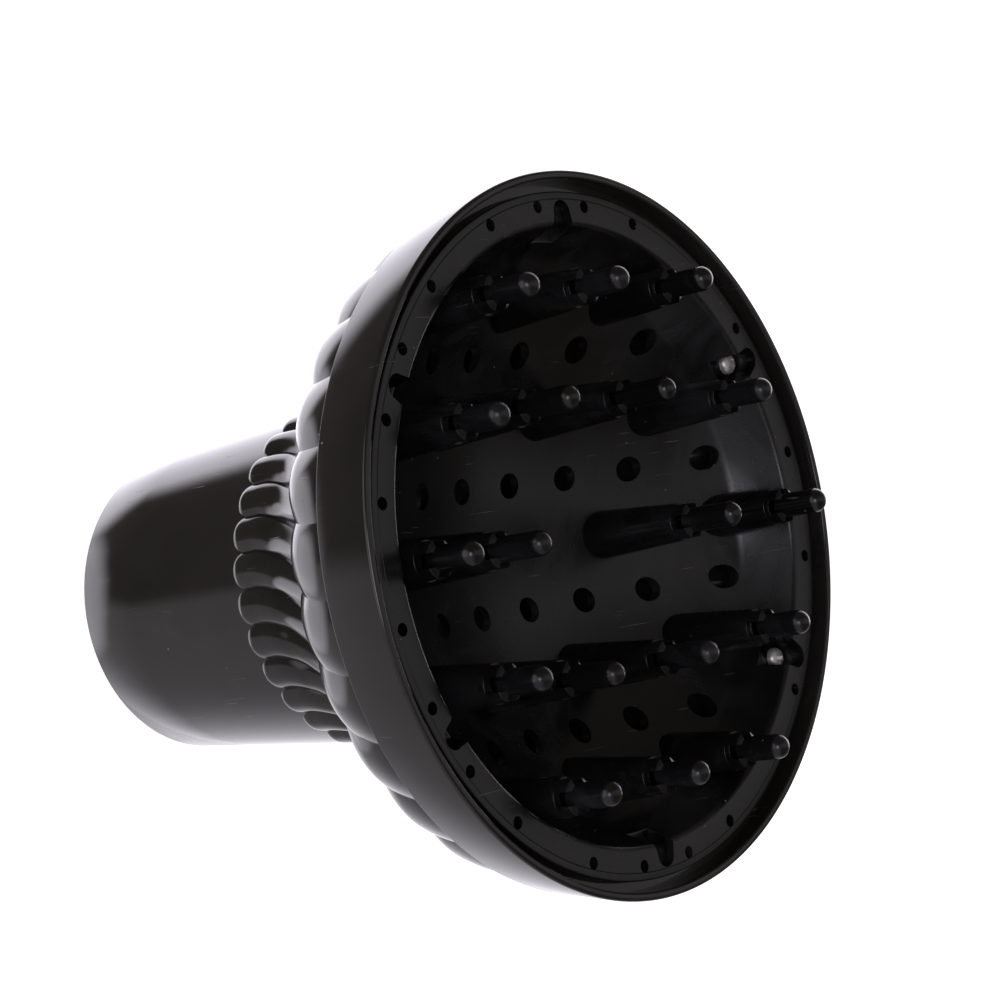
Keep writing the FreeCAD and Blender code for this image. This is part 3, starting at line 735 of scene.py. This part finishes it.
def zinc():
    """Bright zinc plating with dull patches."""
    graph = Graph("zinc")
    patches = graph.noise(900.0, 4.0, 0.65)
    tool_marks = graph.hairlines((0.2, 0.1, 0.8), 0.6, 90.0)
    dulled = graph.window(patches, 0.35, 0.75)
    graph.set(Base_Color=graph.blend(dulled, (0.97, 0.96, 0.93, 1), (0.6, 0.58, 0.55, 1)))
    graph.set(Metallic=0.75)
    graph.set(Roughness=graph.total(0.3, (patches, 0.25), (tool_marks, 0.15)))
    graph.bump(graph.total(0.0, (patches, 0.6), (tool_marks, -0.6)), 0.4, 0.00003)
    return graph.material


def piece(name, shells, material, node):
    """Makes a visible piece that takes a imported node's place."""
    obj = mesh_object(name, *merged(shells))
    obj.data.materials.append(material)
    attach(obj, "root")
    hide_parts(node)


gloss = gloss_black()
zinc_finish = zinc()
piece("bell_skin", [bell_skin()] + bell_bosses(), gloss, "bell_shell")
piece("rim_band", [rim_band()], gloss, "rim_ring")
piece("dish_plate", plate_shells(), satin_black(), "finger_plate")
piece("grip_sleeve", [sleeve_shell()], rubber(), "nozzle_sleeve")
for k in range(SIDES):
    piece(f"pan_screw_{k + 1}", [screw_shell(SIDE_ANGLE * k)], zinc_finish, f"screw_{k + 1}")


# ---- stage ----

VIEW_FROM = Vector((2.2, -417.0, 455.0)) * MM
LOOK = Vector((-0.02296, 0.75993, -0.64959))
ROLL = 79.7                                                # degrees
LENS = 93.05                                               # millimetres
FLOOR_REACH = 4.0                                          # metres

PANEL_TINT = (0.93, 0.9, 1.0, 1)
ROOM_LIGHT = (0.11, 0.1, 0.085, 1)
TABLE_NEAR = 0.42                                          # the panels' strengths; the table's two add up
TABLE_FAR = 0.85
BACKDROP = 2.4
REAR_PANEL = 1.9
SOFTBOX = 1.1
FLASH = 4.0
FILL = 0.34


def add_camera():
    """The photograph's view; returns the camera's turn."""
    data = bpy.data.cameras.new("camera")
    data.lens = LENS
    data.sensor_width = 36.0
    data.clip_start = 0.01
    camera = bpy.data.objects.new("camera", data)
    bpy.context.scene.collection.objects.link(camera)
    turn = LOOK.to_track_quat("-Z", "Y").to_matrix() @ Matrix.Rotation(math.radians(ROLL), 3, "Z")
    camera.matrix_world = Matrix.Translation(VIEW_FROM) @ turn.to_4x4()
    bpy.context.scene.camera = camera
    return turn


def add_floor():
    """A plain white floor."""
    mesh = bpy.data.meshes.new("floor")
    corners = [(FLOOR_REACH * x, FLOOR_REACH * y, 0) for x, y in ((-1, -1), (1, -1), (1, 1), (-1, 1))]
    mesh.from_pydata(corners, [], [(0, 1, 2, 3)])
    floor = bpy.data.objects.new("floor", mesh)
    bpy.context.scene.collection.objects.link(floor)
    graph = Graph("white_floor")
    graph.set(Base_Color=(0.9, 0.9, 0.9, 1), Roughness=0.9)
    graph.set(Emission_Color=(1, 1, 1, 1), Emission_Strength=0.9)
    mesh.materials.append(graph.material)
    floor.visible_glossy = False
    floor.visible_diffuse = False
    floor.visible_shadow = False


def add_world(view):
    """A studio of soft panels round the object, laid out from the camera: up, right and towards it."""
    world = bpy.data.worlds.new("studio")
    bpy.context.scene.world = world
    world.use_nodes = True
    nodes = world.node_tree.nodes
    links = world.node_tree.links
    nodes.clear()
    coords = nodes.new("ShaderNodeTexCoord")

    def facing(axis):
        """Cosine between an axis and the way that a ray leaves."""
        dot = nodes.new("ShaderNodeVectorMath")
        dot.operation = "DOT_PRODUCT"
        dot.inputs[1].default_value = axis
        links.new(coords.outputs["Generated"], dot.inputs[0])
        return dot.outputs["Value"]

    def math_node(operation, *values):
        node = nodes.new("ShaderNodeMath")
        node.operation = operation
        for slot, value in enumerate(values):
            if isinstance(value, (int, float)):
                node.inputs[slot].default_value = value
            else:
                links.new(value, node.inputs[slot])
        return node.outputs[0]

    def step_up(value, low, high):
        """Smooth step from 0 at low to 1 at high."""
        node = nodes.new("ShaderNodeMapRange")
        node.interpolation_type = "SMOOTHSTEP"
        node.inputs["From Min"].default_value = low
        node.inputs["From Max"].default_value = high
        links.new(value, node.inputs["Value"])
        return node.outputs["Result"]

    def times(first, second):
        return math_node("MULTIPLY", first, second)

    def panel(upward, rightward, nearer, low, high):
        """A round panel in one direction, faded between two cosines."""
        middle = view.col[1] * upward + view.col[0] * rightward + view.col[2] * nearer
        return step_up(facing(middle.normalized()), low, high)

    up = facing(view.col[1])
    right = facing(view.col[0])
    toward = facing(view.col[2])
    down = times(up, -1.0)
    left = times(right, -1.0)
    away = times(toward, -1.0)

    table = math_node("ADD", times(step_up(away, 0.4, 0.95), TABLE_FAR), TABLE_NEAR)
    table = times(table, times(step_up(down, 0.05, 0.2), step_up(left, -0.6, -0.2)))
    backdrop = times(step_up(away, 0.55, 0.71), step_up(up, -0.16, 0.02))
    rear_panel = panel(-0.1, -0.78, -0.62, 0.925, 0.975)
    flash = step_up(toward, 0.972, 0.986)
    softbox = panel(0.1, -0.72, 0.69, 0.86, 0.94)
    fill = times(step_up(toward, -0.27, -0.22), step_up(right, 0.3, 0.6))
    fill = times(fill, step_up(down, -0.6, -0.3))
    fill = times(fill, step_up(up, -0.25, 0.06))
    lit = math_node("MAXIMUM", table, times(backdrop, BACKDROP))
    lit = math_node("MAXIMUM", lit, times(rear_panel, REAR_PANEL))
    for light, strength in ((flash, FLASH), (softbox, SOFTBOX), (fill, FILL)):
        lit = math_node("ADD", lit, times(light, strength))

    panels = nodes.new("ShaderNodeBackground")
    panels.inputs["Color"].default_value = PANEL_TINT
    links.new(lit, panels.inputs["Strength"])
    room = nodes.new("ShaderNodeBackground")
    room.inputs["Color"].default_value = ROOM_LIGHT
    studio = nodes.new("ShaderNodeAddShader")
    links.new(panels.outputs[0], studio.inputs[0])
    links.new(room.outputs[0], studio.inputs[1])
    plain = nodes.new("ShaderNodeBackground")
    plain.inputs["Color"].default_value = (1, 1, 1, 1)
    plain.inputs["Strength"].default_value = 1.0
    seen = nodes.new("ShaderNodeLightPath")
    mix = nodes.new("ShaderNodeMixShader")
    links.new(seen.outputs["Is Camera Ray"], mix.inputs[0])
    links.new(studio.outputs[0], mix.inputs[1])
    links.new(plain.outputs[0], mix.inputs[2])
    out = nodes.new("ShaderNodeOutputWorld")
    links.new(mix.outputs[0], out.inputs["Surface"])


bpy.context.scene.view_settings.view_transform = "Standard"
view = add_camera()
add_floor()
add_world(view)
